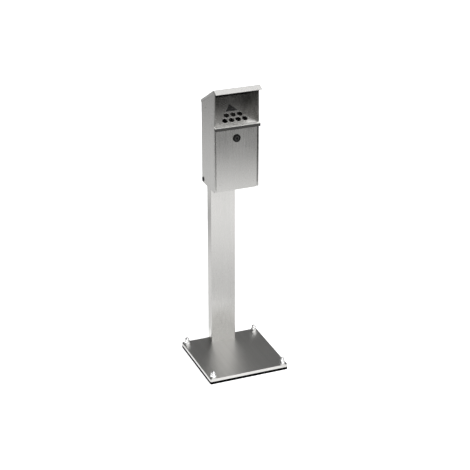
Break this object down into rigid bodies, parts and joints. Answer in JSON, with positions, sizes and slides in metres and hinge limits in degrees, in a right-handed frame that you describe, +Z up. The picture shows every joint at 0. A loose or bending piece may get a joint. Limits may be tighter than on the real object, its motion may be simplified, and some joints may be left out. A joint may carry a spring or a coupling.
{
  "type": "ashtray bin",
  "caption": "Free-standing stainless steel ashtray bin: sloping hood box with a tilting, lockable bin on a flat post and square base.",
  "frame": {"origin": "centre of the base's underside, on the floor", "axes": "+Z up; the open front of the head faces -Y; +X to the right seen from the front"},
  "size_m": [0.3, 0.3, 1.0557],
  "materials": {
    "rubber": "matt black",
    "base_steel": "brushed",
    "post_steel": "brushed",
    "head_steel": "brushed",
    "plate_steel": "brushed",
    "front_steel": "brushed",
    "plain_steel": "mill",
    "fastener_steel": "plain",
    "bright_steel": "polished",
    "black_plastic": "satin black",
    "lock_black": "semi-gloss black",
    "lock_metal": "dark die-cast"
  },
  "bodies": {
    "frame": {"base_plate": "base_steel", "rubber_mat": "rubber", "base_bolt_1": "fastener_steel", "base_bolt_2": "fastener_steel", "base_bolt_3": "fastener_steel", "base_bolt_4": "fastener_steel", "washer_1": "bright_steel", "washer_2": "bright_steel", "washer_3": "bright_steel", "washer_4": "bright_steel", "cap_nut_1": "bright_steel", "cap_nut_2": "bright_steel", "cap_nut_3": "bright_steel", "cap_nut_4": "bright_steel", "post_tube": "post_steel", "post_foot_block": "plain_steel", "post_foot_screws": "fastener_steel", "post_cap": "black_plastic", "mounting_bracket": "plain_steel", "bracket_screws": "fastener_steel", "rivet_nuts": "fastener_steel", "head_screws": "fastener_steel", "clinch_nuts": "fastener_steel", "body_shell": "head_steel", "roof": "head_steel", "stub_plate": "plate_steel", "stub_pad": "plate_steel", "stub_plate_rivets": "fastener_steel", "pivot_bush_left": "black_plastic", "pivot_bush_right": "black_plastic"},
    "bin": {"front_panel": "front_steel", "ash_bin": "plain_steel", "bin_rivets": "fastener_steel", "pivot_pin_left": "fastener_steel", "pivot_pin_right": "fastener_steel", "lock_housing": "lock_black", "lock_nut": "fastener_steel"},
    "lock": {"lock_insert": "lock_metal", "lock_cam": "fastener_steel", "cam_washer": "fastener_steel", "cam_screw": "fastener_steel"}
  },
  "joints": [
    {"name": "bin_tilt", "type": "hinge", "parent": "frame", "child": "bin", "pos_m": [0, 0.082, 0.695], "axis": [1, 0, 0], "range_deg": [0, 50]},
    {"name": "lock_turn", "type": "hinge", "parent": "bin", "child": "lock", "pos_m": [0, -0.025, 0.874], "axis": [0, -1, 0], "range_deg": [0, 90]}
  ]
}
